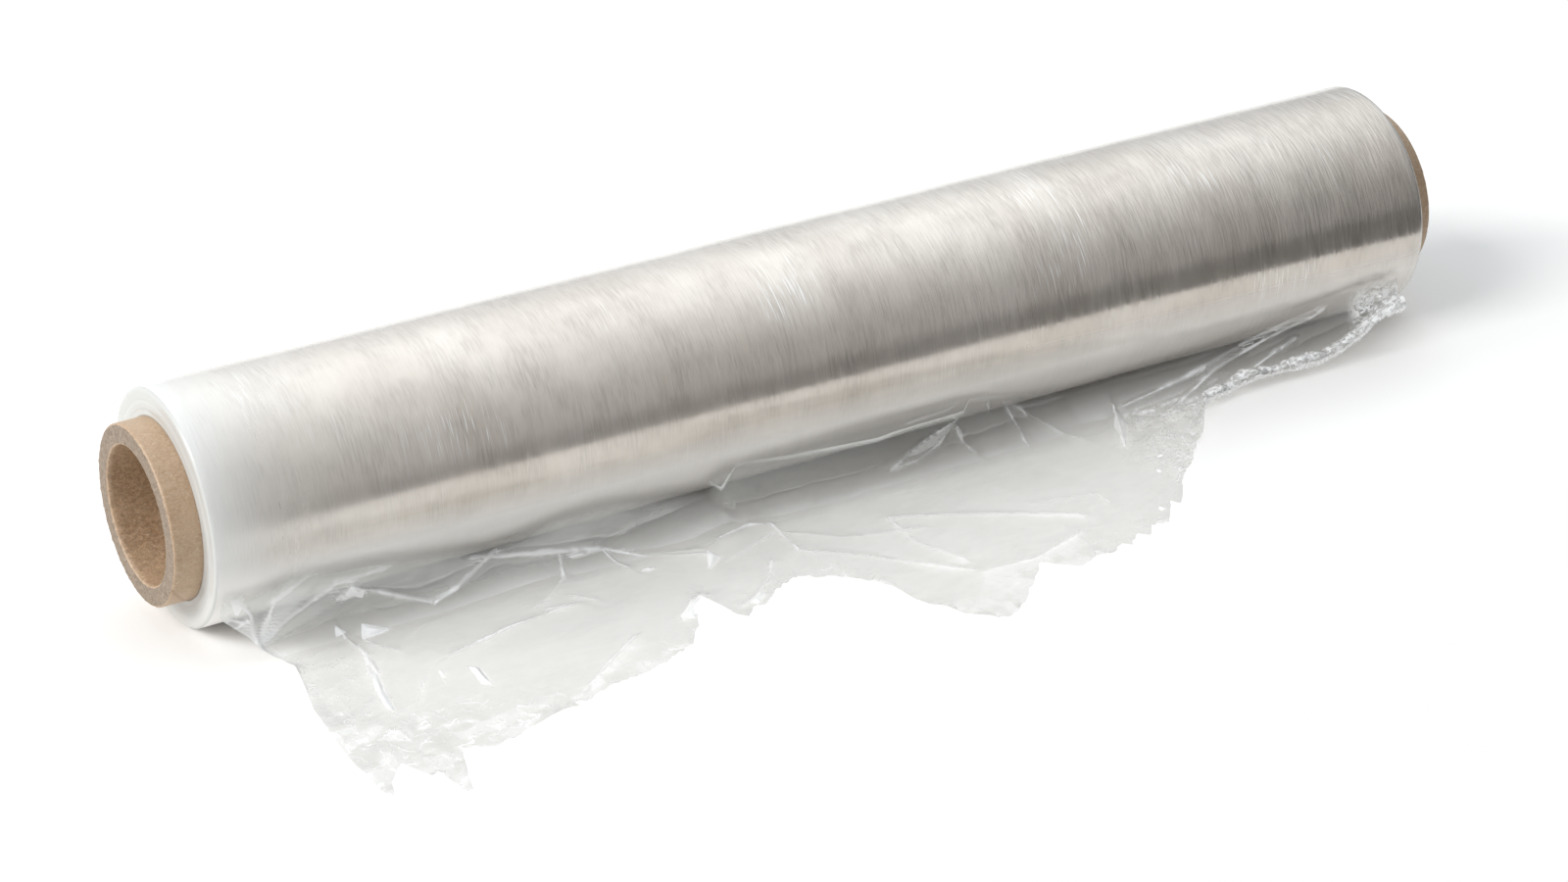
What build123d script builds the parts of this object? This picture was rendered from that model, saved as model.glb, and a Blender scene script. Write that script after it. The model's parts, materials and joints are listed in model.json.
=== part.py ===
from build123d import *
from math import cos, radians, sin, sqrt
import os

os.makedirs("parts", exist_ok=True)

# A roll of clear film on a cardboard tube, lying on its side with its loose end spread on the floor.
# The origin is on the roll's axis, at the middle of its length. +X runs along the roll and +Z is up.
# The loose end lies on the -Y side. Lengths are in millimetres.

# Driving dimensions of the cardboard tube
bore_diameter = 50.0
tube_wall = 7.5
tube_overhang = 10.75
tube_rim_bevel = 0.5

# Driving dimensions of the wound film
film_width = 500.0
wound_depth = 10.5
end_step = 0.7
edge_round = 1.4
gauge_band_height = 0.25
flat_spot_width = 12.0

# Driving dimensions of the loose end
film_thickness = 0.8
touchdown_gap = 5.0
loose_spread = 106.0
fold_height = 12.0
root_depth = 1.5

# Sizes worked out from the driving dimensions
bore_radius = bore_diameter / 2
tube_radius = bore_radius + tube_wall
tube_length = film_width + 2 * tube_overhang
roll_radius = tube_radius + wound_depth
half_width = film_width / 2
floor_level = -sqrt(roll_radius**2 - (flat_spot_width / 2) ** 2)
touchdown = roll_radius + touchdown_gap

# The end faces, from the tube out to the rounded edge: the turns wander in and out in groups,
# given as shares of the wound depth and of the end step
turn_group_shares = (
    (0.00, 0.20),
    (0.16, 0.00),
    (0.32, 0.60),
    (0.48, 0.15),
    (0.64, 0.80),
    (0.80, 0.25),
    (0.92, 1.00),
)

# The slight bands that an uneven film winds up into: places along the half width, and how far
# the surface lies inside the full radius there, as a share of the band height
gauge_band_shares = (
    (-0.90, 0.55),
    (-0.72, 0.10),
    (-0.53, 0.80),
    (-0.35, 0.15),
    (-0.15, 0.65),
    (0.04, 0.20),
    (0.22, 0.90),
    (0.41, 0.25),
    (0.60, 0.70),
    (0.77, 0.00),
    (0.91, 0.60),
)

# Where the height of the loose end is given, as shares of its spread beyond the touchdown line
column_shares = (0.00, 0.16, 0.33, 0.50, 0.67, 0.84, 1.03)

# Folds of the loose end. Each row is one section across it: its place along the half width, the
# place where it leaves the roll, as a share of the quarter turn below the roll's front, and its
# height at each column, as shares of the fold height
fold_shares = (
    (-0.96, 0.26, (0.55, 0.30, 0.22, 0.10, 0.12, 0.05, 0.00)),
    (-0.88, 0.26, (0.35, 0.45, 0.10, 0.25, 0.00, 0.15, 0.05)),
    (-0.80, 0.30, (0.70, 0.25, 0.50, 0.10, 0.30, 0.00, 0.10)),
    (-0.71, 0.36, (0.40, 0.55, 0.10, 0.35, 0.05, 0.20, 0.00)),
    (-0.60, 0.34, (0.60, 0.25, 0.00, 0.15, 0.28, 0.05, 0.10)),
    (-0.50, 0.32, (0.35, 0.50, 0.15, 0.30, 0.10, 0.15, 0.00)),
    (-0.38, 0.28, (0.50, 0.25, 0.00, 0.10, 0.15, 0.00, 0.05)),
    (-0.28, 0.30, (0.30, 0.45, 0.35, 0.00, 0.20, 0.00, 0.05)),
    (-0.16, 0.40, (0.45, 0.65, 0.20, 0.30, 0.00, 0.10, 0.00)),
    (-0.08, 0.30, (0.15, 0.25, 0.45, 0.10, 0.20, 0.00, 0.05)),
    (0.02, 0.26, (0.05, 0.30, 0.15, 0.35, 0.00, 0.20, 0.00)),
    (0.13, 0.26, (0.10, 0.00, 0.35, 0.10, 0.30, 0.00, 0.10)),
    (0.24, 0.30, (0.25, 0.10, 0.10, 0.30, 0.00, 0.20, 0.00)),
    (0.35, 0.36, (0.10, 0.30, 0.25, 0.00, 0.25, 0.05, 0.05)),
    (0.45, 0.40, (0.40, 0.15, 0.30, 0.10, 0.00, 0.10, 0.00)),
    (0.56, 0.42, (0.25, 0.35, 0.00, 0.10, 0.10, 0.00, 0.00)),
    (0.68, 0.42, (0.55, 0.30, 0.10, 0.05, 0.05, 0.00, 0.00)),
    (0.80, 0.42, (0.50, 0.60, 0.20, 0.12, 0.05, 0.00, 0.00)),
    (0.90, 0.40, (0.90, 0.80, 0.40, 0.20, 0.10, 0.05, 0.00)),
    (0.98, 0.40, (1.20, 1.00, 0.60, 0.30, 0.10, 0.05, 0.00)),
)

# The torn edge of the loose end, seen from above, from the left end of the roll to the right:
# places along the half width, and shares of the spread beyond the touchdown line
torn_edge_shares = (
    (-0.940, 0.00),
    (-0.915, 0.08),
    (-0.925, 0.19),
    (-0.935, 0.32),
    (-0.940, 0.49),
    (-0.940, 0.73),
    (-0.935, 0.89),
    (-0.920, 0.83),
    (-0.885, 0.75),
    (-0.865, 0.86),
    (-0.840, 0.85),
    (-0.835, 0.89),
    (-0.860, 1.00),
    (-0.825, 0.92),
    (-0.800, 0.75),
    (-0.760, 0.79),
    (-0.675, 0.745),
    (-0.600, 0.70),
    (-0.470, 0.62),
    (-0.410, 0.56),
    (-0.365, 0.38),
    (-0.340, 0.32),
    (-0.325, 0.36),
    (-0.330, 0.43),
    (-0.310, 0.50),
    (-0.290, 0.45),
    (-0.270, 0.46),
    (-0.250, 0.41),
    (-0.210, 0.35),
    (-0.150, 0.415),
    (-0.090, 0.54),
    (-0.085, 0.66),
    (-0.045, 0.84),
    (-0.010, 0.915),
    (0.020, 0.905),
    (0.060, 0.83),
    (0.125, 0.67),
    (0.170, 0.755),
    (0.205, 0.725),
    (0.230, 0.735),
    (0.255, 0.69),
    (0.267, 0.715),
    (0.290, 0.66),
    (0.302, 0.70),
    (0.320, 0.635),
    (0.345, 0.66),
    (0.380, 0.54),
    (0.390, 0.575),
    (0.440, 0.405),
    (0.470, 0.34),
    (0.550, 0.16),
    (0.585, 0.085),
    (0.660, 0.055),
    (0.800, 0.065),
    (0.900, 0.05),
    (0.960, 0.01),
)

# How far out and how far down the loose end has come at its shoulder, between leaving the roll
# and touching down
shoulder_out_share = 0.70
shoulder_down_share = 0.45


def wound_outline():
    """Half section of the wound film: places along the roll and distances from its axis."""
    square_depth = roll_radius - edge_round - tube_radius
    left_face = [
        (-half_width + back_share * end_step, tube_radius + out_share * square_depth)
        for out_share, back_share in turn_group_shares
    ]
    left_face += [
        (-half_width, roll_radius - edge_round),
        (-half_width + edge_round * (1 - sin(radians(45))), roll_radius - edge_round * (1 - cos(radians(45)))),
        (-half_width + edge_round, roll_radius),
    ]
    surface = [
        (place_share * half_width, roll_radius - in_share * gauge_band_height)
        for place_share, in_share in gauge_band_shares
    ]
    right_face = [(-place, radius) for place, radius in reversed(left_face)]
    return left_face + surface + right_face


def sheet_section(leave_share, height_shares):
    """Closed section of the loose end, from inside the roll's surface to beyond the torn edge."""
    angle = radians(90 * leave_share)
    root_radius = roll_radius - root_depth
    root = (root_radius * cos(angle), -root_radius * sin(angle))
    lying = [
        (touchdown + column * loose_spread, floor_level + film_thickness + height * fold_height)
        for column, height in zip(column_shares, height_shares)
    ]
    shoulder = (
        root[0] + shoulder_out_share * (touchdown - root[0]),
        root[1] + shoulder_down_share * (lying[0][1] - root[1]),
    )
    top = [root, shoulder] + lying
    below = [(out, level - film_thickness) for out, level in reversed(top)]
    return [(-out, level) for out, level in top + below]


# The tube: paper plies wound on a mandrel, glued and cut off square
with BuildPart() as cardboard_tube:
    with BuildSketch(Plane.YZ.offset(-tube_length / 2)):
        Circle(tube_radius)
        Circle(bore_radius, mode=Mode.SUBTRACT)
    extrude(amount=tube_length)
    chamfer(cardboard_tube.edges().filter_by(GeomType.CIRCLE), tube_rim_bevel)
cardboard_tube.part.label = "cardboard_tube"

# The loose end of the film: folded sections joined by flat facets, cut to the torn edge
with BuildPart() as loose_end:
    for place_share, leave_share, height_shares in fold_shares:
        with BuildSketch(Plane.YZ.offset(place_share * half_width)):
            with BuildLine():
                Polyline(*sheet_section(leave_share, height_shares), close=True)
            make_face()
    loft(ruled=True)
    with BuildSketch(Plane.XY.offset(floor_level)):
        with BuildLine():
            torn_edge = [
                (place * half_width, -touchdown - out * loose_spread) for place, out in torn_edge_shares
            ]
            Polyline((torn_edge[0][0], 0), *torn_edge, (torn_edge[-1][0], 0), close=True)
        make_face()
    extrude(amount=roll_radius, mode=Mode.INTERSECT)

# The film: all its turns, pressed flat where the roll rests, in one piece with the loose end
with BuildPart() as film:
    with BuildSketch(Plane.XZ):
        with BuildLine():
            Polyline(*wound_outline(), close=True)
        make_face()
    revolve(axis=Axis.X)
    split(bisect_by=Plane.XY.offset(floor_level), keep=Keep.TOP)
    add(loose_end.part)
film.part.label = "film"

export_step(cardboard_tube.part, "parts/cardboard_tube.step")
export_step(film.part, "parts/film.step")
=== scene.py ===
import json
import math

import bpy
import numpy as np
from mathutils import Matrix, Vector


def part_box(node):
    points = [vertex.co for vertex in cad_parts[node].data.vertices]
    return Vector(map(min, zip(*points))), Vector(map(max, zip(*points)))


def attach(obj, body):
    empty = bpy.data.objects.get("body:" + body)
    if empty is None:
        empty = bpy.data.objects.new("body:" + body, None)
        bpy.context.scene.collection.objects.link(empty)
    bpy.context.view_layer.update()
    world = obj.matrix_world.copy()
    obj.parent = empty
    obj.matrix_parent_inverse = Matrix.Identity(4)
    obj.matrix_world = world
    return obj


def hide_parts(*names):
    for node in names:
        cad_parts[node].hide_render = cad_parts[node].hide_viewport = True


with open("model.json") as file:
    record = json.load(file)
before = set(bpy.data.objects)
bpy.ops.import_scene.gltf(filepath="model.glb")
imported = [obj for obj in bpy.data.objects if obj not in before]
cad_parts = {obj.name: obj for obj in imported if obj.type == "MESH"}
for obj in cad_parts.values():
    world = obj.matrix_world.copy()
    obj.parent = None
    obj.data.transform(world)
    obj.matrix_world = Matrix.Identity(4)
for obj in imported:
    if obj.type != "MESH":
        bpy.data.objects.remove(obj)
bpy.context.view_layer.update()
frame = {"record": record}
millimetre = 0.001

# The tube is paperboard: kraft plies wound as a spiral on a mandrel, glued, and sawn off square.
# It sticks out of the film at both ends, with rough fibres on the cut faces and the outer ply's
# butt seam running round it.
tube_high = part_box("cardboard_tube")[1]
tube_radius = tube_high.z
tube_half = tube_high.x
core_bore = next(mount for mount in frame["record"]["mounts"] if mount["name"] == "core_bore")
bore_radius = core_bore["dims"]["r_mm"] * millimetre
rim_round = 0.7 * millimetre
cut_depth = 0.2 * millimetre
fibre_height = 0.24 * millimetre
fray_height = 0.192 * millimetre
fray_reach = 0.8 * millimetre
seam_pitch = 118 * millimetre
seam_width = 0.625 * millimetre
seam_depth = 0.28 * millimetre
seam_turn = -27 / 360
skin_speckle, bare_speckle = 0.25, 1.0
tube_angles = 288
fine, coarse = 0.45 * millimetre, 9 * millimetre
rim_zone, bore_zone = 14 * millimetre, 40 * millimetre


def rising(value, start, stretch):
    """Goes straight from 0 at the start to 1 at the end of the stretch, and is level elsewhere."""
    return np.clip((value - start) / stretch, 0, 1)


def lattice_noise(u, v, cells_u, cells_v, seed):
    """Smooth noise from -1 to 1. Random values stand on a lattice of cells_u by cells_v points, and
    a cubic step blends the four around each place. u and v wrap round after 1."""
    values = np.random.default_rng(seed).uniform(-1, 1, (cells_u, cells_v))
    across, along = u * cells_u, v * cells_v
    i, j = np.floor(across).astype(int), np.floor(along).astype(int)
    s, t = across - i, along - j
    s, t = s * s * (3 - 2 * s), t * t * (3 - 2 * t)
    near, far = i % cells_u, (i + 1) % cells_u
    left, right = j % cells_v, (j + 1) % cells_v
    low = values[near, left] * (1 - s) + values[far, left] * s
    high = values[near, right] * (1 - s) + values[far, right] * s
    return low * (1 - t) + high * t


def grid_piece(name, points, wrap_rows, wrap_columns):
    """A mesh of four-sided faces through a grid of points, rows by columns by three. Where a
    direction wraps, its last points join its first. Faces show their front where rows go on and
    columns go on to the left of them."""
    rows, columns = points.shape[:2]
    index = np.arange(rows * columns).reshape(rows, columns)
    if wrap_rows:
        index = np.vstack([index, index[:1]])
    if wrap_columns:
        index = np.hstack([index, index[:, :1]])
    corners = np.stack([index[:-1, :-1], index[1:, :-1], index[1:, 1:], index[:-1, 1:]], axis=-1)
    corners = corners.reshape(-1, 4).astype(np.int32)
    mesh = bpy.data.meshes.new(name)
    mesh.vertices.add(rows * columns)
    mesh.vertices.foreach_set("co", points.astype(np.float32).ravel())
    mesh.loops.add(corners.size)
    mesh.loops.foreach_set("vertex_index", corners.ravel())
    mesh.polygons.add(len(corners))
    mesh.polygons.foreach_set("loop_start", np.arange(0, corners.size, 4, dtype=np.int32))
    mesh.polygons.foreach_set("use_smooth", np.ones(len(corners), bool))
    mesh.update(calc_edges=True)
    piece = bpy.data.objects.new(name, mesh)
    bpy.context.scene.collection.objects.link(piece)
    return piece


def paint(piece, name, values):
    """Stores one number for each point of a piece, for its material to read."""
    attribute = piece.data.attributes.new(name, "FLOAT", "POINT")
    attribute.data.foreach_set("value", values.astype(np.float32).ravel())


def path_through(corners, steps):
    """Places along straight runs through the corners, each run divided evenly into pieces no
    longer than its step. The last corner is left out, so that a closed path doesn't repeat it."""
    places = []
    for start, end, longest in zip(corners[:-1], corners[1:], steps):
        start, end = np.array(start), np.array(end)
        count = max(1, int(np.ceil(np.linalg.norm(end - start) / longest)))
        places.append(start + (end - start) * np.arange(count)[:, None] / count)
    return np.concatenate(places)


def turned_surface(section, angles):
    """Turns a section, places along X and distances from the axis, round the X axis. Rows are
    angles and columns are section points. Gives the place along X, the distance from the axis and
    the angle above the front of each point."""
    angle = np.linspace(0, 2 * np.pi, angles, endpoint=False)[:, None]
    along = np.broadcast_to(section[:, 0], (angles, len(section)))
    return along, np.broadcast_to(section[:, 1], along.shape), np.broadcast_to(angle, along.shape)


def placed_round(along, distance, angle):
    """Points from places along X, distances from the axis and angles above the front: Y is minus
    the distance times the cosine of the angle, and Z is the distance times its sine."""
    return np.stack([along, -distance * np.cos(angle), distance * np.sin(angle)], axis=-1)


tube_section = path_through(
    [
        (-tube_half, bore_radius + rim_round),
        (-tube_half, tube_radius - rim_round),
        (-tube_half + rim_round, tube_radius),
        (-tube_half + rim_zone, tube_radius),
        (tube_half - rim_zone, tube_radius),
        (tube_half - rim_round, tube_radius),
        (tube_half, tube_radius - rim_round),
        (tube_half, bore_radius + rim_round),
        (tube_half - rim_round, bore_radius),
        (tube_half - bore_zone, bore_radius),
        (-tube_half + bore_zone, bore_radius),
        (-tube_half + rim_round, bore_radius),
        (-tube_half, bore_radius + rim_round),
    ],
    [
        fine, fine / 2, 2 * fine, coarse, 2 * fine, fine / 2,
        fine, fine / 2, 4 * fine, coarse, 4 * fine, fine / 2,
    ],
)
along, distance, angle = turned_surface(tube_section, tube_angles)
turn = angle / (2 * np.pi)
to_end = tube_half - np.abs(along)

# The outer ply's seam is a groove along a spiral: its depth falls off with the distance from the
# line where the turn and the place along the tube are in step.
outside = (distance > tube_radius - rim_round / 2) & (to_end > rim_round / 2)
out_of_step = (turn - seam_turn + (along + tube_half) / seam_pitch + 0.5) % 1 - 0.5
from_seam = np.abs(out_of_step) * 2 * np.pi * tube_radius
seam = np.exp(-((from_seam / seam_width) ** 2)) * outside

# The cut faces are sunk unevenly by fibres of two sizes, and both rims are frayed. The share of the
# wall stays under 1, where the noise would start again.
on_cut = rising(cut_depth - to_end, 0, cut_depth)
through_wall = 0.999 * (distance - bore_radius) / (tube_radius - bore_radius)
fibres = lattice_noise(turn, through_wall, 340, 12, 11) + 0.7 * lattice_noise(turn, through_wall, 90, 5, 12)
fray = lattice_noise(turn, along * 0 + 0.5, 210, 3, 13) * np.exp(-to_end / fray_reach)
fray_side = np.where(distance > (bore_radius + tube_radius) / 2, 1, -1)
along = along - np.sign(along) * on_cut * fibre_height * (0.9 - fibres)
distance = distance - seam * seam_depth + fray * fray_side * fray_height
tube = grid_piece("kraft_tube", placed_round(along, distance, angle), True, True)
paint(tube, "cut_face", on_cut)
paint(tube, "ply_seam", seam)
paint(tube, "speckle", np.where(distance < tube_radius - rim_round / 2, bare_speckle, skin_speckle))


def put(tree, kind, inputs=None, **settings):
    """Adds a node with its settings. Each input is a value, or another node's output to link."""
    node = tree.nodes.new(kind)
    for name, value in settings.items():
        setattr(node, name, value)
    for name, value in (inputs or {}).items():
        if isinstance(value, bpy.types.NodeSocket):
            tree.links.new(value, node.inputs[name])
        else:
            node.inputs[name].default_value = value
    return node


def fresh_material(name):
    """An empty node material, its node tree and its output node."""
    material = bpy.data.materials.new(name)
    material.use_nodes = True
    material.node_tree.nodes.clear()
    return material, material.node_tree, put(material.node_tree, "ShaderNodeOutputMaterial")


def painted(tree, name):
    """The number that is painted on a piece's points under a name."""
    return put(tree, "ShaderNodeAttribute", attribute_name=name).outputs["Fac"]


def spanned(tree, value, low, high, at_low=0.0, at_high=1.0):
    """Goes straight from at_low to at_high while the value goes from low to high."""
    ends = {"Value": value, "From Min": low, "From Max": high, "To Min": at_low, "To Max": at_high}
    return put(tree, "ShaderNodeMapRange", ends).outputs[0]


def raised(tree, strength, distance, height, over=None):
    """A bump as high as a distance in metres, laid over another bump where one is given."""
    inputs = {"Strength": strength, "Distance": distance, "Height": height}
    if over is not None:
        inputs["Normal"] = over
    return put(tree, "ShaderNodeBump", inputs).outputs[0]


def as_colour(value):
    """Passes a socket on, and makes a colour of three numbers or a grey of one."""
    if isinstance(value, bpy.types.NodeSocket):
        return value
    return (*value, 1) if isinstance(value, tuple) else (value, value, value, 1)


def blend_colours(tree, share, first, second, how="MIX"):
    """Mixes two colours by a share. A colour is a socket, three numbers, or one for a grey."""
    inputs = {0: share, 6: as_colour(first), 7: as_colour(second)}
    return put(tree, "ShaderNodeMix", inputs, data_type="RGBA", blend_type=how).outputs[2]


def toned(tree, colour, mask, low, high, share=1.0):
    """A colour multiplied by a tone that goes from low to high with a mask."""
    return blend_colours(tree, share, colour, blend_colours(tree, mask, low, high), "MULTIPLY")


def stretched_noise_group():
    """A noise whose grain is drawn out. Grain is how many grains there are to a metre along X, Y
    and Z. Mask is the noise pressed between Low and High, and Height is the noise itself."""
    group = bpy.data.node_groups.new("drawn_grain", "ShaderNodeTree")
    sockets = group.interface
    sockets.new_socket("Grain", in_out="INPUT", socket_type="NodeSocketVector")
    for name, value in (("Detail", 2.0), ("Twist", 0.3), ("Low", 0.4), ("High", 0.6)):
        sockets.new_socket(name, in_out="INPUT", socket_type="NodeSocketFloat").default_value = value
    sockets.new_socket("Mask", in_out="OUTPUT", socket_type="NodeSocketFloat")
    sockets.new_socket("Height", in_out="OUTPUT", socket_type="NodeSocketFloat")
    given = put(group, "NodeGroupInput").outputs
    place = put(group, "ShaderNodeTexCoord").outputs["Object"]
    away_from_middle = (3.71, 11.37, 7.93)
    drawn = put(
        group,
        "ShaderNodeVectorMath",
        {0: place, 1: given["Grain"], 2: away_from_middle},
        operation="MULTIPLY_ADD",
    )
    noise = put(
        group,
        "ShaderNodeTexNoise",
        {"Vector": drawn.outputs[0], "Scale": 1.0, "Detail": given["Detail"], "Distortion": given["Twist"]},
    ).outputs["Fac"]
    pressed = spanned(group, noise, given["Low"], given["High"])
    put(group, "NodeGroupOutput", {"Mask": pressed, "Height": noise})
    return group


drawn_grain = stretched_noise_group()


def grain(tree, amounts, low, high, detail=2.0, twist=0.3):
    """One use of the drawn grain in a material, as its mask and its height. Amounts are grains to
    a metre along X, Y and Z."""
    inputs = {"Grain": amounts, "Low": low, "High": high, "Detail": detail, "Twist": twist}
    node = put(tree, "ShaderNodeGroup", inputs, node_tree=drawn_grain)
    return node.outputs["Mask"], node.outputs["Height"]


def kraft_board():
    """Brown kraft paper: long pale and dark fibres, with a darker and rougher cut face."""
    material, tree, output = fresh_material("kraft_board")
    clouds, _ = grain(tree, (60, 90, 90), 0.35, 0.65, 4.0)
    pulp, pulp_height = grain(tree, (900, 1500, 1500), 0.42, 0.72, 3.0, 1.2)
    flecks, _ = grain(tree, (1500, 2100, 2100), 0.60, 0.70, 1.0, 0.6)
    speckle, _ = grain(tree, (600, 800, 800), 0.36, 0.64, 3.0, 0.8)
    skin = blend_colours(tree, clouds, (0.41, 0.26, 0.148), (0.50, 0.34, 0.21))
    skin = blend_colours(tree, pulp, skin, (0.58, 0.435, 0.30))
    sawn = blend_colours(tree, pulp, (0.20, 0.14, 0.09), (0.37, 0.285, 0.205))
    sawn = blend_colours(tree, flecks, sawn, (0.24, 0.16, 0.10))
    board = blend_colours(tree, painted(tree, "cut_face"), skin, sawn)
    board = toned(tree, board, speckle, (0.78, 0.76, 0.74), 1.16, painted(tree, "speckle"))
    board = blend_colours(tree, painted(tree, "ply_seam"), board, (0.33, 0.20, 0.11))
    rise = raised(tree, 0.55, 0.0004, pulp_height)
    shader = put(
        tree,
        "ShaderNodeBsdfPrincipled",
        {"Base Color": board, "Roughness": 0.45, "Specular IOR Level": 0.85, "Normal": rise},
    )
    tree.links.new(shader.outputs[0], output.inputs[0])
    return material


tube.data.materials.append(kraft_board())
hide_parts("cardboard_tube")
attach(tube, "root")

# The wound film is clear polyethylene, some hundreds of turns on the tube. So many layers shine
# like silver seen through milk, with fine lines drawn round the roll. Both ends are whiter, partly
# from the light the turns' edges let in and partly painted light, far stronger at the left end,
# where the lamp is. The turns it rests on are pressed flat.
film_low, film_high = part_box("film")
film_half = film_high.x
roll_radius = film_high.z
floor_level = film_low.z
wound_depth = roll_radius - tube_radius
film_edge_round = 1.5 * millimetre
end_wander = 0.35 * millimetre
gauge_height = 0.16 * millimetre
skin_depth = 0.3 * millimetre
# Painted light at the ends: far into the left end, toward the lamp, only at the edge of the right.
left_light_reach, right_light_reach = 22 * millimetre, 1 * millimetre
end_face_depth, end_face_blur = 1.1 * millimetre, 0.5 * millimetre
wound_angles = 288
end_points, edge_points, surface_points = 15, 6, 252


def rounded_end(side):
    """Section points of one end face, from the tube outwards to the roll's surface: turns that
    wander in and out, by a sine times a cosine, then a quarter circle round the outer edge."""
    outwards = np.linspace(0, 1, end_points)[:-1]
    radii = tube_radius + outwards * (wound_depth - film_edge_round)
    wander = end_wander * (0.5 + 0.5 * np.sin(outwards * 23) * np.cos(outwards * 9 + 1))
    bend = np.linspace(0, np.pi / 2, edge_points)
    places = np.concatenate([film_half - wander, film_half - film_edge_round * (1 - np.cos(bend))])
    distances = np.concatenate([radii, roll_radius - film_edge_round * (1 - np.sin(bend))])
    return np.stack([side * places, distances], axis=-1)


surface_end = film_half - film_edge_round
surface_places = np.linspace(-surface_end, surface_end, surface_points)[1:-1]
wound_section = np.concatenate(
    [
        rounded_end(-1),
        np.stack([surface_places, np.full(surface_places.shape, roll_radius)], axis=-1),
        rounded_end(1)[::-1],
    ]
)
along, distance, angle = turned_surface(wound_section, wound_angles)
turn = angle / (2 * np.pi)
roll_share = np.clip((along + film_half) / (2 * film_half), 0, 0.9999)

# An uneven film winds up into slight bands: smooth noise of three sizes sinks the surface. The
# share of the roll, too, stays under 1.
gauge_bands = (
    lattice_noise(turn * 0, roll_share, 1, 17, 21)
    + 0.6 * lattice_noise(turn, roll_share, 3, 43, 22)
    + 0.35 * lattice_noise(turn, roll_share, 7, 90, 23)
)
on_surface = rising(distance, roll_radius - skin_depth, skin_depth)
distance = distance + on_surface * gauge_height * (0.55 * gauge_bands - 1.0)
points = placed_round(along, distance, angle)
points[..., 2] = np.maximum(points[..., 2], floor_level)
wound = grid_piece("wound_film", points, True, True)

# The material reads painted light: the ends painted whiter, which falls off as e to the minus the
# distance from the end, the left of the roll painted lighter and milkier than the right, since the
# lamp is at the left, and the underside painted lighter, for light from the floor, more so at the
# left. It also reads the end faces.
from_end = film_half - np.abs(along)
light_reach, light_strength = np.where(along < 0, left_light_reach, right_light_reach), np.where(along < 0, 1, 0.6)
paint(wound, "painted_end_light", light_strength * np.exp(-from_end / light_reach))
paint(wound, "painted_left_light", 1 - roll_share)
paint(wound, "end_face", rising(end_face_depth - from_end, 0, end_face_blur))
paint(wound, "painted_underside_light", rising(-np.sin(angle), 0.05, 0.25) * (1.0 - 0.5 * roll_share))


def worked(tree, how, *values, held=False):
    """One step of arithmetic on sockets or numbers, held between 0 and 1 where that is asked."""
    return put(tree, "ShaderNodeMath", dict(enumerate(values)), operation=how, use_clamp=held).outputs[0]


def joined(tree, how, first, *others):
    """Sockets or numbers taken together one by one: multiplied, or the largest of them."""
    for other in others:
        first = worked(tree, how, first, other)
    return first


def weighed(tree, total, *pairs):
    """A number plus each socket times its weight, held between 0 and 1."""
    for socket, weight in pairs:
        total = worked(tree, "MULTIPLY_ADD", socket, weight, total, held=True)
    return total


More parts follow.
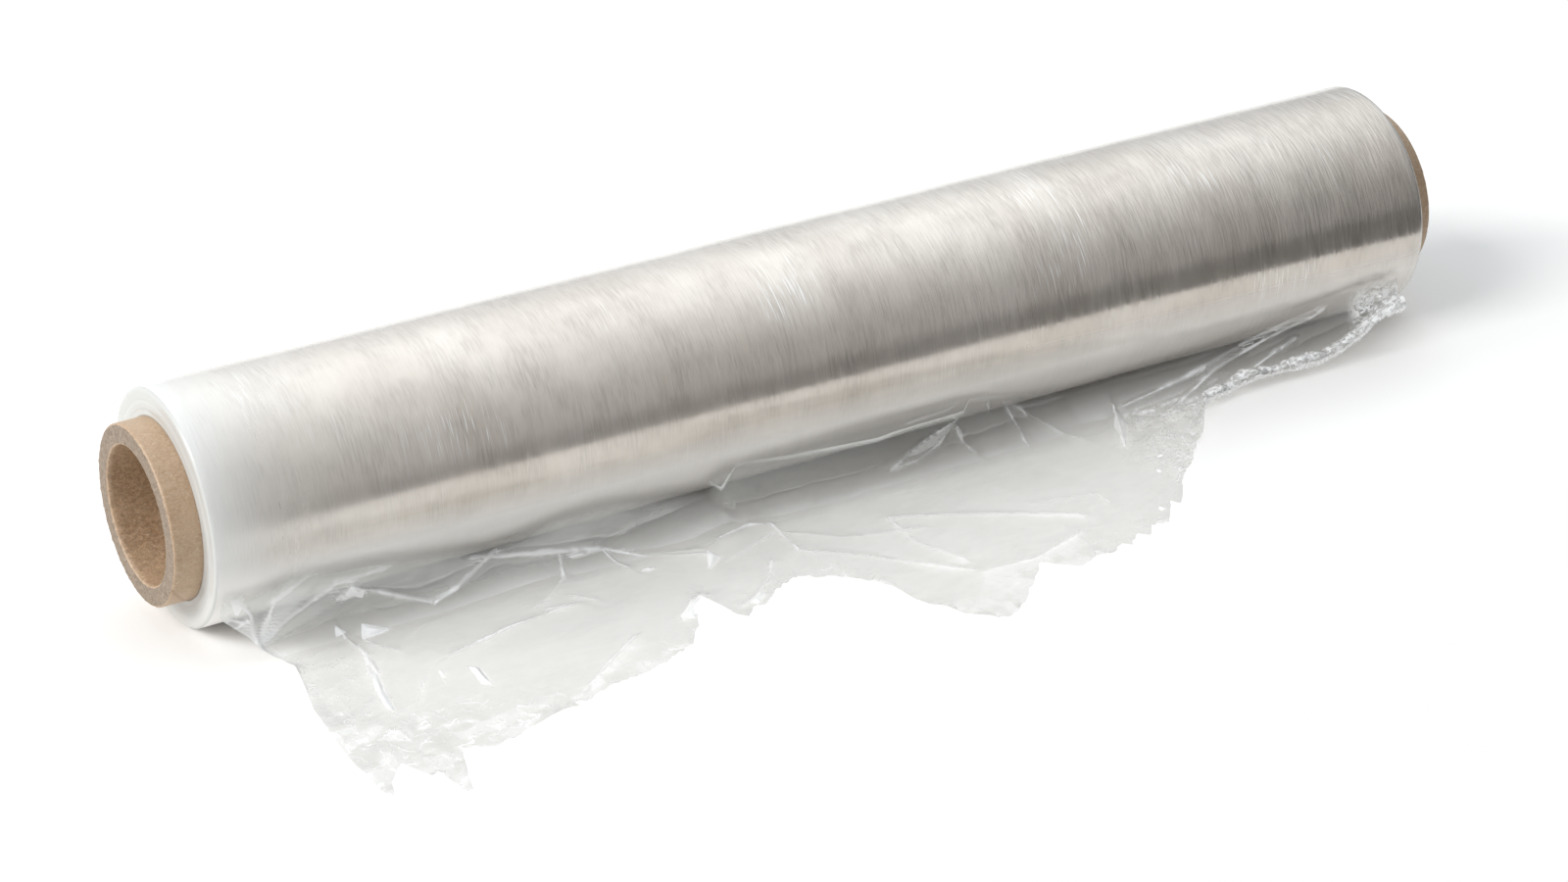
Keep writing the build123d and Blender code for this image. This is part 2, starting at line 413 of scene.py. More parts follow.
def wound_film_finish():
    """Many clear layers: a silvery satin with fine lines round the roll and milky ends. Painted light
    makes the ends whiter, the left lighter than the right and the underside lighter, and the milkier
    it makes them, the less they shine like metal."""
    material, tree, output = fresh_material("wound_film")
    painted_end_light, painted_left_light = painted(tree, "painted_end_light"), painted(tree, "painted_left_light")
    painted_underside_light = painted(tree, "painted_underside_light")
    clouds, _ = grain(tree, (26, 18, 18), 0.32, 0.70, 3.0, 0.5)
    mottles, _ = grain(tree, (75, 60, 60), 0.34, 0.68, 3.0, 0.4)
    lines, lines_height = grain(tree, (1300, 125, 125), 0.36, 0.64, 2.0, 0.2)
    drawn, drawn_height = grain(tree, (300, 50, 50), 0.35, 0.70, 3.0, 0.2)
    scuffs, _ = grain(tree, (2300, 75, 75), 0.58, 0.68, 1.0, 0.3)
    patches, _ = grain(tree, (17, 22, 22), 0.56, 0.66, 1.0, 0.2)
    base = blend_colours(tree, clouds, (0.60, 0.55, 0.495), (0.69, 0.645, 0.595))
    # Painted shade: darker towards the right end, lighter towards the left, where the lamp is.
    base = toned(tree, base, painted_left_light, 0.96, 1.09)
    base = toned(tree, base, mottles, (0.93, 0.925, 0.92), (1.05, 1.045, 1.04))
    streak = blend_colours(tree, lines, (0.86, 0.85, 0.84), 1.03)
    base = toned(tree, base, mottles, streak, (0.96, 0.955, 0.95))
    scuffed = joined(tree, "MULTIPLY", scuffs, patches)
    base = blend_colours(tree, scuffed, base, (0.86, 0.85, 0.83))
    base = toned(tree, base, drawn, (0.97, 0.968, 0.965), 1.02)
    # Painted light: the ends whiter, the left one far more.
    base = blend_colours(tree, painted_end_light, base, (0.87, 0.87, 0.85))
    # Painted light: the underside lighter and warmer, for light from the floor.
    base = blend_colours(tree, joined(tree, "MULTIPLY", painted_underside_light, 0.9), base, (1.0, 0.975, 0.945))
    base = blend_colours(tree, painted(tree, "end_face"), base, (0.60, 0.605, 0.585))
    # The painted light also makes the ends, the left side and the underside milkier.
    milk = weighed(tree, 0.0, (painted_end_light, 0.5), (painted_left_light, 0.42), (painted_underside_light, 0.8))
    rough = worked(tree, "MULTIPLY_ADD", painted_end_light, 0.35, spanned(tree, drawn, 0.0, 1.0, 0.14, 0.22))
    rise = raised(tree, 0.22, 0.0004, lines_height, raised(tree, 0.10, 0.0012, drawn_height))
    shader = put(
        tree,
        "ShaderNodeBsdfPrincipled",
        {
            "Base Color": base,
            "Metallic": spanned(tree, milk, 0.0, 1.0, 0.85, 0.0),
            "Roughness": rough,
            "Coat Weight": 0.5,
            "Coat Roughness": 0.17,
            "Normal": rise,
        },
    )
    tree.links.new(shader.outputs[0], output.inputs[0])
    return material


wound.data.materials.append(wound_film_finish())
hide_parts("film")
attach(wound, "root")

# The loose end is one layer of the same film, pulled off the front of the roll and torn by hand.
# It falls from the roll, creases, and lies spread on the floor, with its right side gathered up
# into a rope that climbs back to the roll.

# Its left and right sides are shares of the half width, the clearance is kept from the floor and
# the roll, and the lying height is in millimetres. The last three shape the fall.
touchdown = roll_radius + 5 * millimetre
spread = -film_low.y - touchdown
loose_left, loose_right = -0.940, 0.958
loose_columns, drape_rows, lying_rows = 800, 36, 84
hold = 8 * millimetre
film_gap = 0.12 * millimetre
clearance = 0.1 * millimetre
lying_height, ragged_share = 0.35, 0.006
leaving_share, landing_run, landing_share = 0.55, 9 * millimetre, 0.06

# Where the film leaves the roll: places along the half width and degrees below the roll's front.
leaving_degrees = (
    (-0.96, 19), (-0.90, 20), (-0.84, 16), (-0.73, 20), (-0.62, 27), (-0.54, 34), (-0.49, 31),
    (-0.43, 25), (-0.36, 25), (-0.27, 32), (-0.205, 38), (-0.19, 25), (-0.11, 24), (0.08, 21.5),
    (0.19, 23), (0.24, 26), (0.33, 35), (0.39, 42), (0.50, 40), (0.64, 35), (0.79, 25), (0.89, 19),
    (0.97, 17),
)

# The torn edge, seen from above: places along the half width and shares of the spread.
torn_edge_shares = (
    (-0.940, 0.86), (-0.932, 0.90), (-0.920, 0.82), (-0.885, 0.74), (-0.868, 0.85), (-0.855, 0.84),
    (-0.848, 0.99), (-0.838, 0.98), (-0.822, 0.88), (-0.800, 0.75), (-0.760, 0.79), (-0.720, 0.77),
    (-0.675, 0.745), (-0.600, 0.70), (-0.545, 0.66), (-0.470, 0.62), (-0.410, 0.56), (-0.380, 0.47),
    (-0.365, 0.38), (-0.345, 0.32), (-0.330, 0.38), (-0.318, 0.46), (-0.306, 0.50), (-0.290, 0.45),
    (-0.270, 0.46), (-0.250, 0.41), (-0.210, 0.35), (-0.185, 0.36), (-0.150, 0.415), (-0.090, 0.55),
    (-0.080, 0.67), (-0.045, 0.84), (-0.010, 0.915), (0.020, 0.905), (0.060, 0.83), (0.125, 0.67),
    (0.150, 0.72), (0.170, 0.755), (0.205, 0.725), (0.230, 0.735), (0.255, 0.69), (0.267, 0.715),
    (0.290, 0.66), (0.302, 0.70), (0.320, 0.635), (0.345, 0.66), (0.380, 0.54), (0.390, 0.575),
    (0.440, 0.405), (0.470, 0.34), (0.510, 0.24), (0.550, 0.16), (0.585, 0.10), (0.660, 0.07),
    (0.800, 0.075), (0.900, 0.07), (0.960, 0.06),
)

# The left side of the loose end, in millimetres: lengths of film past the line where it meets the
# floor, and places along the roll.
left_side_places = (
    (-46, -246), (-33, -247), (-22, -249), (-17, -244), (-12, -239), (-7, -236), (0, -230), (8, -229),
    (20, -231), (34, -234), (52, -236), (77, -236.5), (106, -234.5),
)

# Where the film stops clinging to the turn below it, a fine light line on the roll, a painted
# highlight: places along the roll in millimetres and degrees below the roll's front.
cling_line = (
    (-92, 25), (-80, 23), (-68, 27), (-54, 34), (-48, 24.5), (-28, 27.5), (10, 30.5), (24, 29), (47, 29.5),
    (49, 24), (66, 29), (82, 35), (100, 46),
)

# How high the gathered right side is held off the floor: places along the half width and heights
# in millimetres.
held_up = ((0.62, 0), (0.72, 1.5), (0.81, 2), (0.87, 6), (0.92, 12), (0.96, 14))

# Creases, each a run of straight folds through its corners, in millimetres: a corner is a place
# along the roll and a length of film past the line where it meets the floor, less than nothing
# where it still hangs. Each run ends with its height and how wide its slopes are.
creases = (
    (((-236, -8), (-224, -16), (-206, -24), (-186, -25)), 1.2, 3.0),
    (((-236, -8), (-229, -24), (-214, -31), (-189, -29)), 1.0, 3.0),
    (((-245, -32), (-238, -21), (-236, -8), (-229, 8), (-232, 24)), 1.4, 2.5),
    (((-252, -18), (-245, -21), (-240, -18), (-249, -16)), 1.0, 1.5),
    (((-205, -18), (-200, -21), (-195, -18), (-203, -17)), 1.6, 2.0),
    (((-206, -4), (-205, 4), (-204, 12), (-208, 23), (-212, 48)), 1.6, 3.0),
    (((-200, 2), (-198, 8), (-193, 14)), 0.8, 3.0),
    (((-178, 26), (-153, 19), (-125, 16)), 1.6, 3.0),
    (((-136, 14), (-129, 15)), 1.2, 1.2),
    (((-192, 33), (-200, 46), (-213, 52)), 0.7, 4.0),
    (((-145, 66), (-134, 57), (-119, 47)), 1.3, 3.0),
    (((-139, 62), (-128, 53)), 0.9, 2.0),
    (((-196, -19), (-170, -6)), 1.0, 2.5),
    (((-170, -6), (-161, -9), (-148, -17), (-144, -19)), 1.5, 3.0),
    (((-153, -19), (-128, -14), (-104, -9), (-70, 8)), 1.2, 3.0),
    (((-116, -9), (-104, -9), (-98, 2)), 1.3, 3.0),
    (((-104, -9), (-92, -4), (-70, 4)), 0.9, 2.5),
    (((-120, -10), (-121, -2), (-131, 8), (-139, 11)), 0.8, 4.0),
    (((-124, 10), (-118, 16)), 0.9, 2.5),
    (((-61, 2), (-47, -2), (-39, 1), (-40, 22)), 1.5, 4.0),
    (((-41, 6), (-61, 14)), 0.8, 4.0),
    (((-39, 8), (-22, 21), (7, 30)), 1.0, 3.0),
    (((-98, 43), (-89, 34), (-84, 33)), 1.3, 3.0),
    (((-75, 45), (-67, 41), (-57, 32), (-52, 24)), 1.2, 2.5),
    (((43, -20), (36, -13), (27, -9), (15, -8), (28, -15), (43, -20)), 0.9, 2.0),
    (((44, -17), (46, -11), (50, -6)), 0.8, 2.5),
    (((56, -38), (58, -21)), 1.6, 1.2),
    (((24, -25), (40, -26), (52, -31)), 1.0, 2.0),
    (((65, -23), (71, -10), (72, -3)), 0.7, 4.5),
    (((66, -23), (84, -8), (92, 1)), 0.6, 4.5),
    (((0, 17), (29, 32), (61, 49)), 1.1, 3.0),
    (((0, 18), (-1, 37), (8, 55)), 0.9, 3.5),
    (((50, 35), (75, 39), (75, 47)), 0.8, 3.5),
    (((9, 67), (31, 68), (54, 60)), 0.9, 3.0),
    (((-41, 22), (-19, 38), (7, 64)), 0.8, 3.5),
    (((112, -9), (110, 0), (103, 14)), 1.8, 2.5),
    (((116, -8), (144, -12), (173, -19), (204, -24)), 1.3, 1.8),
    (((133, 0), (158, -12), (182, -18), (206, -22)), 1.5, 1.8),
    (((132, 3), (165, -3), (173, -7), (194, -14)), 1.2, 1.8),
    (((122, -4), (140, -5), (158, -8)), 0.8, 1.5),
)

# Small folds that lie doubled, painted white as glints, a painted highlight: the corners of each,
# given as those of the creases are, and how white its painted glint is.
folded_glint_patches = (
    (((-246, -33), (-238, -32), (-243, -20)), 0.7),
    (((-205, -17), (-198, -18), (-200, -22)), 1.0),
    (((-200, -17), (-195, -20), (-196, -15)), 1.0),
    (((-198, -6), (-188, -1), (-201, 2)), 1.0),
    (((-208, -8), (-204, -4), (-209, -3)), 0.9),
    (((-206, 13), (-203, 14), (-204, 24), (-207, 23)), 0.7),
    (((-208, 24), (-205, 22), (-208, 36), (-211, 34)), 0.9),
    (((-211, 35), (-208, 36), (-211, 49), (-213, 47)), 1.0),
    (((-177, 35), (-174, 38), (-175, 49), (-178, 47)), 0.9),
    (((-187, 32), (-185, 33), (-188, 41)), 0.7),
    (((-68, 5), (-66, 12), (-74, 18)), 1.0),
    (((-95, 6), (-92, 5), (-89, 7), (-92, 8)), 0.9),
    (((-99, 42), (-86, 33), (-84, 35), (-95, 45)), 0.9),
    (((-73, 45), (-66, 40), (-64, 42), (-70, 47)), 0.8),
    (((43, -20), (35, -11), (27, -11), (15, -8), (28, -15)), 0.36),
    (((112, -7), (114, 0), (104, 14), (107, 1)), 0.75),
    (((130, 17), (131, 20), (128, 21)), 0.9),
    (((104, 33), (106, 36), (103, 37)), 0.9),
    (((89, 57), (91, 60), (88, 61)), 0.8),
    (((160, -3), (176, 0), (166, 1)), 0.9),
    (((224, -30), (229, -34), (232, -19), (228, -22)), 0.9),
)


def between(pairs, places):
    """Straight-line values at the places, from pairs of a place and a value."""
    table = np.array(pairs)
    return np.interp(places, table[:, 0], table[:, 1])


def bell(away, width):
    """One where away is nothing, and next to nothing past twice the width: e to the minus the
    square of away over the width."""
    return np.exp(-((away / width) ** 2))


def run_gap(x, y, corners):
    """Distance of each point from a run of straight pieces through its corners, less than nothing
    on the right-hand side of the run."""
    gap = np.full_like(x, np.inf)
    for (x0, y0), (x1, y1) in zip(corners[:-1], corners[1:]):
        run_x, run_y = x1 - x0, y1 - y0
        share = np.clip(((x - x0) * run_x + (y - y0) * run_y) / (run_x**2 + run_y**2), 0, 1)
        off_x, off_y = x - x0 - share * run_x, y - y0 - share * run_y
        away = np.hypot(off_x, off_y)
        gap = np.where(away < np.abs(gap), np.where(run_x * off_y < run_y * off_x, -away, away), gap)
    return gap


def beyond_patch(x, y, corners):
    """How far outside a patch with straight sides each point lies, less than nothing inside: the
    largest of its distances from the lines through the sides."""
    middle = np.mean(corners, axis=0)
    beyond = np.full_like(x, -np.inf)
    for (x0, y0), (x1, y1) in zip(corners, corners[1:] + corners[:1]):
        run_x, run_y = x1 - x0, y1 - y0
        inwards = np.sign((middle[0] - x0) * run_y - (middle[1] - y0) * run_x) / math.hypot(run_x, run_y)
        beyond = np.maximum(beyond, inwards * ((y - y0) * run_x - (x - x0) * run_y))
    return beyond


def facets(x, y, size, seed):
    """Heights from -1 to 1 of a crumpled sheet of flat triangles. Random heights stand at the
    corners of a lattice with cells of the given size, which smooth noise bends, and each cell is
    two flat triangles."""
    cells, swing, swing_reach = 97, 0.75 * size, 9 * size
    u, v = x / swing_reach % 1, y / swing_reach % 1
    across = (x + swing * lattice_noise(u, v, 4, 4, seed)) / size
    along = (y + swing * lattice_noise(u, v, 4, 4, seed + 1)) / size
    i, j = np.floor(across).astype(int), np.floor(along).astype(int)
    s, t = across - i, along - j
    heights = np.random.default_rng(seed + 2).uniform(-1, 1, (cells, cells))
    near_left, near_right = heights[i % cells, j % cells], heights[i % cells, (j + 1) % cells]
    far_left, far_right = heights[(i + 1) % cells, j % cells], heights[(i + 1) % cells, (j + 1) % cells]
    first = near_left + s * (far_left - near_left) + t * (near_right - near_left)
    second = far_right + (1 - s) * (near_right - far_right) + (1 - t) * (far_left - far_right)
    return np.where(s + t < 1, first, second)


# The torn edge is a little ragged between the places that are given, by a share of the spread.
column = np.linspace(0, 1, loose_columns)[None, :]
nominal = loose_left + column * (loose_right - loose_left)
ragged = lattice_noise(column, column * 0, 260, 1, 31) + 0.6 * lattice_noise(column, column * 0, 620, 1, 32)
torn = between(torn_edge_shares, nominal)
torn = torn + ragged_share * ragged * np.clip(torn * 4, 0.2, 1)

# The fall from the roll is a cubic curve with four guide points: it leaves along the roll and lands
# along the floor. Beyond it the film lies on the floor as far as the torn edge.
start = np.radians(between(leaving_degrees, nominal)) - hold / roll_radius
skin = roll_radius + film_gap
root = np.stack([skin * np.cos(start), -skin * np.sin(start)])
heading = np.stack([-np.sin(start), -np.cos(start)])
landing_height = floor_level + (lying_height + between(held_up, nominal)) * millimetre
landing = np.stack([np.full_like(start, touchdown), landing_height])
drop = root[1] - landing[1]
bend_out = root + heading * drop * leaving_share
bend_in = landing - np.stack([np.full_like(start, landing_run), -landing_share * drop])
fall = np.linspace(0, 1, drape_rows)[:, None]
weights = [(1 - fall) ** 3, 3 * fall * (1 - fall) ** 2, 3 * fall**2 * (1 - fall), fall**3]
guides = [root, bend_out, bend_in, landing]
fall_out, fall_up = sum(weight * guide for weight, guide in zip(weights, guides))
lie = np.linspace(0, 1, lying_rows + 1)[1:, None]
lie_out = touchdown + lie * torn * spread
out = np.concatenate([fall_out, lie_out])
up = np.concatenate([fall_up, np.broadcast_to(landing_height, lie_out.shape)])
pieces = np.hypot(np.diff(out, axis=0), np.diff(up, axis=0))
length = np.concatenate([np.zeros((1, loose_columns)), np.cumsum(pieces, axis=0)])
past_floor = (length - length[drape_rows - 1]) / millimetre
left_side = between(left_side_places, past_floor) * millimetre
x = left_side + (loose_right * film_half - left_side) * column
x_mm = x / millimetre
from_roll = (length - hold) / millimetre
to_edge = (length[-1] - length) / millimetre

# Height over that plain form, in millimetres. A crease falls off as e to the minus its distance
# over its slope, a gentle one on its left and a steep one on its right, and lies flatter where the
# film is on the floor. Its ridge is a painted highlight, the brightest on a tall one. A doubled fold
# is a flat step with a short slope.
out_of_reach = 9.0
gentle, steep = 1.4, 0.7
# The painted highlight along a ridge is full on a crease this tall and fades over this reach.
shining_height, shine_reach = 1.5, 2
step_slope = 1.5
height, crease_highlight = np.zeros_like(x), np.zeros_like(x)
crease_gap = np.full_like(x, out_of_reach)
for corners, tall, wide in creases:
    gap = run_gap(x_mm, past_floor, corners)
    rise = tall * between(((-4, 1.0), (14, 0.6)), past_floor)
    height = np.maximum(height, rise * np.exp(-np.abs(gap) / np.where(gap > 0, gentle * wide, steep * wide)))
    # Painted highlight along the ridge.
    near = tall / shining_height * bell(gap, shine_reach)
    crease_gap = np.where(near > crease_highlight, gap, crease_gap)
    crease_highlight = np.maximum(near, crease_highlight)
patch_gap, patch_glint = np.full_like(x, out_of_reach), np.zeros_like(x)
for corners, white in folded_glint_patches:
    gap = beyond_patch(x_mm, past_floor, corners)
    patch_glint = np.where(gap < patch_gap, white, patch_glint)
    patch_gap = np.minimum(gap, patch_gap)
height = np.maximum(height, rising(-patch_gap, 0, step_slope))

# Crumpling is facets of four sizes. It is strongest in the left side, at the tips, along the torn
# edge and where the right side is gathered, and finest where the film is bunched. Each of these
# zones is set by places along the roll or on the film, and fades over a stretch, in millimetres.
# Facets are raised by about a third, so that most stand above the plain form, and what stays under
# it is levelled.
broad, middle, small, tiny = (
    facets(x_mm, past_floor, size, seed) for size, seed in ((29, 41), (14, 44), (6.0, 47), (2.6, 50))
)
left_margin = bell(x_mm - x_mm[:, :1], 22) * rising(past_floor, -2, 12)
tips = bell(x_mm + 205, 32) * rising(past_floor, 45, 20)
edge_margin = np.exp(-to_edge / 8) * rising(past_floor, 0, 10)
gathered = rising(x_mm, 102, 25) * rising(past_floor, -9, 8)
rope = rising(x_mm, 126, 12) * bell(to_edge, 7)
knot = rising(x_mm, 217, 7) * rising(from_roll, 0, 5)
outer_bunch = 0.4 * bell(x_mm - 115, 14) * bell(past_floor - 25, 18)
inner_bunch = 0.6 * bell(x_mm - 128, 17) * bell(past_floor - 2, 8)
bunched = np.maximum.reduce([rope, knot, outer_bunch, inner_bunch])
crumpled = np.clip(left_margin + 0.8 * tips + 0.7 * edge_margin + gathered + bunched, 0, 1)
free = rising(from_roll, -2, 16)
height += free * (0.7 * (broad + 0.4) + (0.12 + 0.7 * crumpled) * (middle + 0.3))
height += free * (0.02 + 0.55 * crumpled) * (small + 0.3) + 0.8 * bunched * (tiny + 0.4)
height = np.clip(height, 0, None) * millimetre * rising(from_roll, 0, 6)

# The gathered right side curls up over itself: its margin turns up to 4.4 radians round a radius
# that varies along the edge.
curled_margin, full_curl = 9, 4.4
curl = rising(x_mm, 128, 20) * rising(curled_margin - to_edge, 0, curled_margin)
curl_radius = (2.6 + 0.7 * lattice_noise(column, column * 0, 40, 1, 51)) * millimetre
curl_angle = curl * full_curl
lift = curl_radius * (1 - np.cos(curl_angle))
pull_back = curl * curled_margin * millimetre - curl_radius * np.sin(curl_angle)

# The heights stand square to the plain form. No point goes below the floor or into the roll.
slope_out, slope_up = np.gradient(out, axis=0), np.gradient(up, axis=0)
slope = np.hypot(slope_out, slope_up) + 1e-9
lay_out = out - slope_up / slope * height - pull_back * (curl > 0)
lay_up = np.maximum(up + slope_out / slope * height + lift, floor_level + clearance)
push = np.maximum((roll_radius + clearance) / np.hypot(lay_out, lay_up), 1)
loose = grid_piece("loose_film", np.stack([x, -lay_out * push, lay_up * push], axis=-1), False, False)

# Where the film is doubled it is milky: along its left side, in a fan of streaks from the corner
# where that side touches down, and where it hangs from the roll, less and less down to the floor.
# The start of the film, which still clings to the roll, fades in, and the line where it stops
# clinging is a painted highlight. Gaps are in millimetres.
fan_corner = (-239, -6)
fan_across, fan_up = x_mm - fan_corner[0], fan_corner[1] - past_floor
fan_turn, fan_reach = np.arctan2(fan_up, fan_across) / np.pi, np.hypot(fan_across, fan_up)
streaks = 0.7 + 0.4 * lattice_noise(fan_turn % 1, fan_turn * 0, 22, 1, 61)
fan = rising(fan_turn, 0.05, 0.05) * np.clip(1.7 - fan_reach / 40, 0, 1) * rising(fan_up, 0, 3) * streaks
side_fold = np.exp(-(x_mm - x_mm[:, :1]) / 6) * np.clip(1.6 - from_roll / 40, 0, 1)
fallen = np.concatenate([fall, np.ones((lying_rows, 1))])
hanging = rising(from_roll, 0, 4) * (1 - fallen) ** 0.7 * between(((-120, 1.0), (20, 0.15)), x_mm)
below_front = np.degrees(np.arctan2(-lay_up, lay_out))
cling_reach = between(((-94, 0), (-80, 1), (70, 1), (98, 0)), x_mm) * rising(-past_floor, 15, 5)
on_show = rising(from_roll, 0, 3)
for name, values in (
    ("crumpled", crumpled),
    ("bunched", bunched),
    ("crease_gap", crease_gap),
    ("crease_highlight", np.clip(crease_highlight, 0, 1) * on_show),
    ("patch_gap", patch_gap),
    ("patch_glint", patch_glint * on_show),
    ("doubled", np.maximum.reduce([side_fold, fan, hanging])),
    ("cling_gap", np.radians(below_front - between(cling_line, x_mm)) * roll_radius / millimetre),
    ("cling_reach", cling_reach),
    ("on_roll", np.clip(1.6 - length / (10 * millimetre), 0, 1)),
):
    paint(loose, name, values)


def clear_film_finish():
    """One clear layer: see-through, glossy, a little milky, with a net of fine creases where it is
    crumpled. Creases, folds and bunched film are whiter, partly by their own whitening and partly by
    painted highlights, glints and sparkles, and film seen at a slant is darker."""
    material, tree, output = fresh_material("clear_film")
    crumpled, bunched = painted(tree, "crumpled"), painted(tree, "bunched")
    doubled, on_roll = painted(tree, "doubled"), painted(tree, "on_roll")
    wisps, _ = grain(tree, (70, 200, 200), 0.42, 0.78, 4.0, 0.9)
    breaks, breaks_height = grain(tree, (95, 95, 95), 0.46, 0.56, 2.0, 0.4)
    # Painted glints: white sparkles where the film is bunched and white specks where it is crumpled.
    glint_sparks, _ = grain(tree, (330, 420, 420), 0.48, 0.55, 2.0, 1.0)
    glint_specks, _ = grain(tree, (240, 300, 300), 0.57, 0.63, 2.0, 1.2)
    place = put(tree, "ShaderNodeTexCoord").outputs["Object"]
    wander = put(tree, "ShaderNodeTexNoise", {"Vector": place, "Scale": 70.0, "Detail": 1.0})
    swung = put(
        tree,
        "ShaderNodeVectorMath",
        {0: wander.outputs["Color"], 1: (0.03, 0.03, 0.03), 2: place},
        operation="MULTIPLY_ADD",
    )
    net = put(
        tree,
        "ShaderNodeTexVoronoi",
        {"Vector": swung.outputs[0], "Scale": 105.0},
        feature="DISTANCE_TO_EDGE",
    )
    net_line = spanned(tree, net.outputs["Distance"], 0.0, 0.045, 1.0, 0.0)
    fine_crease = joined(tree, "MULTIPLY", net_line, crumpled, breaks)
    # Painted highlight: a white line along each crease's ridge, of varying width and broken.
    ridge_width = spanned(tree, wisps, 0.0, 1.0, 0.75, 2.8)
    ridge_highlight = spanned(tree, worked(tree, "ABSOLUTE", painted(tree, "crease_gap")), 0.22, ridge_width, 1.0, 0.0)
    worn = spanned(tree, breaks, 0.0, 1.0, 0.5, 1.0)
    ridge_highlight = joined(tree, "MULTIPLY", ridge_highlight, painted(tree, "crease_highlight"), worn)
    # Painted highlight: a fine light line where the film stops clinging.
    over_line = spanned(tree, painted(tree, "cling_gap"), -0.35, 0.0)
    under_line = spanned(tree, painted(tree, "cling_gap"), 0.1, 1.6, 1.0, 0.0)
    cling_highlight = joined(tree, "MULTIPLY", over_line, under_line, painted(tree, "cling_reach"))
    # Painted glints: the folded patches painted white.
    patch_glint_mask = spanned(tree, painted(tree, "patch_gap"), -0.2, 0.2, 1.0, 0.0)
    patch_glint_mask = joined(tree, "MULTIPLY", patch_glint_mask, painted(tree, "patch_glint"))
    painted_sparkle = joined(tree, "MULTIPLY", glint_sparks, bunched)
    painted_speck = joined(tree, "MULTIPLY", glint_specks, crumpled, 0.32)
    # Whiter creases and folds: partly their own whitening, partly painted highlights and glints.
    creases_and_glints = joined(tree, "MAXIMUM", fine_crease, ridge_highlight, patch_glint_mask, painted_sparkle, painted_speck)
    rise = raised(tree, 0.3, 0.0005, fine_crease, raised(tree, 0.12, 0.0010, breaks_height))
    metal = spanned(tree, joined(tree, "MAXIMUM", doubled, creases_and_glints), 0.0, 1.0, 0.6, 0.1)
    shade = blend_colours(tree, doubled, (0.82, 0.82, 0.81), (0.92, 0.93, 0.91))
    shade = blend_colours(tree, creases_and_glints, shade, 1.0)
    body = put(
        tree,
        "ShaderNodeBsdfPrincipled",
        {"Base Color": shade, "Metallic": metal, "Roughness": 0.09, "Normal": rise},
    )
    slant = put(tree, "ShaderNodeLayerWeight", {"Blend": 0.5}).outputs["Facing"]
    layers = blend_colours(tree, crumpled, (0.68, 0.68, 0.675), (0.62, 0.62, 0.615))
    tint = blend_colours(tree, slant, (0.91, 0.91, 0.905), layers)
    tint = blend_colours(tree, doubled, tint, (0.97, 0.97, 0.96))
    tint = blend_colours(tree, bunched, tint, (0.93, 0.93, 0.92))
    tint = blend_colours(tree, on_roll, tint, 1.0)
    tint = blend_colours(tree, creases_and_glints, tint, 1.0)
    through = put(tree, "ShaderNodeBsdfTransparent", {"Color": tint})
    mirrored = put(tree, "ShaderNodeFresnel", {"IOR": 1.5, "Normal": rise}).outputs[0]
    seen = weighed(
        tree, 0.03, (wisps, 0.08), (doubled, 0.60), (cling_highlight, 0.80), (bunched, 0.34), (creases_and_glints, 0.80),
        (mirrored, 1.3),
    )
    ray = put(tree, "ShaderNodeLightPath")
    not_shadow = worked(tree, "SUBTRACT", 1.0, ray.outputs["Is Shadow Ray"])
    free = worked(tree, "SUBTRACT", 1.0, on_roll)
    share = joined(tree, "MULTIPLY", seen, not_shadow, free)
    film = put(tree, "ShaderNodeMixShader", {0: share, 1: through.outputs[0], 2: body.outputs[0]})
    tree.links.new(film.outputs[0], output.inputs[0])
    return material


loose.data.materials.append(clear_film_finish())
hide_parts("film")
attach(loose, "root")

# The studio: a white floor, whose front edge runs slantwise past the torn film, two soft lights at
# the left, one before the roll and a weaker one behind it, a room of greys that the film mirrors,
# and a camera with a long lens.
floor_reach = 6.0
front_right, front_left, front_turn = 0.105, 2.40, 0.40
floor_outline = (
    (-floor_reach, -front_left), (front_turn, -front_right), (floor_reach, -front_right),
    (floor_reach, floor_reach), (-floor_reach, floor_reach),
)
floor_mesh = bpy.data.meshes.new("pale_floor")
floor_mesh.from_pydata([(*corner, floor_level) for corner in floor_outline], [], [range(len(floor_outline))])
floor = bpy.data.objects.new("pale_floor", floor_mesh)
bpy.context.scene.collection.objects.link(floor)
floor_material, tree, output = fresh_material("pale_floor")
matt = put(tree, "ShaderNodeBsdfDiffuse", {"Color": (0.98, 0.97, 0.955, 1)})
tree.links.new(matt.outputs[0], output.inputs[0])
floor_mesh.materials.append(floor_material)


def soft_light(name, place, target, side, watts):
    """A square area light at a place, turned to a target."""
    lamp = bpy.data.lights.new(name, "AREA")
    lamp.shape = "RECTANGLE"
    lamp.size, lamp.size_y, lamp.energy = side, side, watts
    light = bpy.data.objects.new(name, lamp)
    light.location = place
    away = Vector(place) - Vector(target)
    light.rotation_euler = away.to_track_quat("Z", "Y").to_euler()
    bpy.context.scene.collection.objects.link(light)


lit_place = (0, -0.05, 0)
soft_light("left_softbox", (-6.10, -0.80, 5.35), lit_place, 3.7, 380)
soft_light("rear_softbox", (-6.60, 2.20, 3.00), lit_place, 1.8, 178)

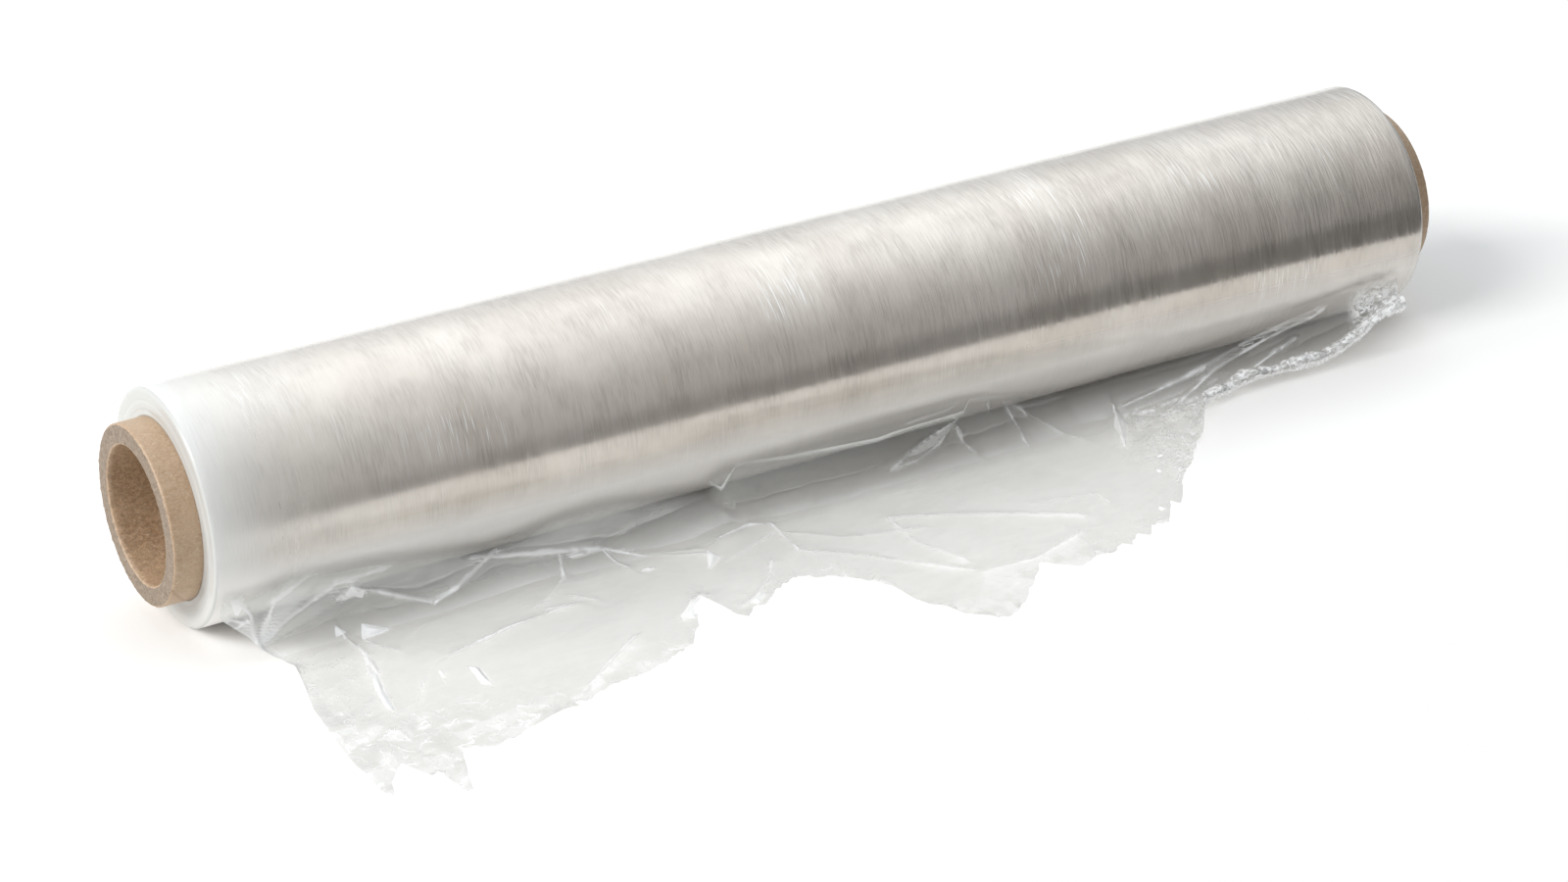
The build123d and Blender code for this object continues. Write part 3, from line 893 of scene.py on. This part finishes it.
# The room's grey is a level for the height, from the front over the top to the back, times a level
# for how far to the right. The camera sees white instead.
world = bpy.data.worlds.new("white_studio")
bpy.context.scene.world = world
world.use_nodes = True
tree = world.node_tree
tree.nodes.clear()
direction = put(tree, "ShaderNodeTexCoord").outputs["Generated"]
parts = put(tree, "ShaderNodeSeparateXYZ", {0: direction})
to_front = worked(tree, "MULTIPLY", parts.outputs["Y"], -1.0)
front_to_back = worked(tree, "DIVIDE", worked(tree, "ARCTAN2", parts.outputs["Z"], to_front), math.pi)
left_to_right = worked(tree, "MULTIPLY_ADD", parts.outputs["X"], 0.5, 0.5)


def stepped(tree, share, stops):
    """A ramp of grey levels through stops of a share, a level and how cool it is: a cooler grey
    has less red, more green and still more blue."""
    node = put(tree, "ShaderNodeValToRGB", {"Fac": share})
    ramp = node.color_ramp
    while len(ramp.elements) < len(stops):
        ramp.elements.new(0.5)
    for stop, (position, level, cool) in zip(ramp.elements, stops):
        stop.position = position
        stop.color = (level * (1 - cool), level * (1 + 0.6 * cool), level * (1 + 1.8 * cool), 1)
    return node.outputs[0]


arch_levels = (
    (0.0, 0.19, 0), (0.055, 0.41, 0), (0.21, 0.57, 0.01), (0.38, 1.0, 0.02), (0.545, 1.58, 0.03),
    (0.71, 1.70, 0.03), (0.88, 1.09, 0.025), (1.0, 0.80, 0.02),
)
side_levels = (
    (0.0, 0.25, 0), (0.40, 0.48, 0), (0.52, 0.70, 0), (0.61, 0.95, 0), (0.67, 1.05, 0), (0.72, 1.02, 0),
    (0.75, 0.93, 0), (0.79, 0.68, 0), (0.86, 0.4, 0), (1.0, 0.15, 0),
)
arch = stepped(tree, front_to_back, arch_levels)
side = stepped(tree, left_to_right, side_levels)
room = put(tree, "ShaderNodeBackground", {"Color": arch, "Strength": side})
white = put(tree, "ShaderNodeBackground", {"Color": (1, 1, 1, 1), "Strength": 1.0})
ray = put(tree, "ShaderNodeLightPath")
seen_world = put(
    tree,
    "ShaderNodeMixShader",
    {0: ray.outputs["Is Camera Ray"], 1: room.outputs[0], 2: white.outputs[0]},
)
put(tree, "ShaderNodeOutputWorld", {0: seen_world.outputs[0]})

view_azimuth, view_elevation, view_distance = math.radians(-29.76), math.radians(28.53), 1.783
view_target = Vector((-0.0057, 0, -0.0397))
camera = bpy.data.cameras.new("photo_view")
camera.lens, camera.sensor_width = 111.2, 36
camera.clip_end = 50
viewer = bpy.data.objects.new("photo_view", camera)
back = Vector(
    (
        math.sin(view_azimuth) * math.cos(view_elevation),
        -math.cos(view_azimuth) * math.cos(view_elevation),
        math.sin(view_elevation),
    )
)
viewer.location = view_target + back * view_distance
viewer.rotation_euler = back.to_track_quat("Z", "Y").to_euler()
bpy.context.scene.collection.objects.link(viewer)
bpy.context.scene.camera = viewer
bpy.context.scene.view_settings.view_transform = "Standard"
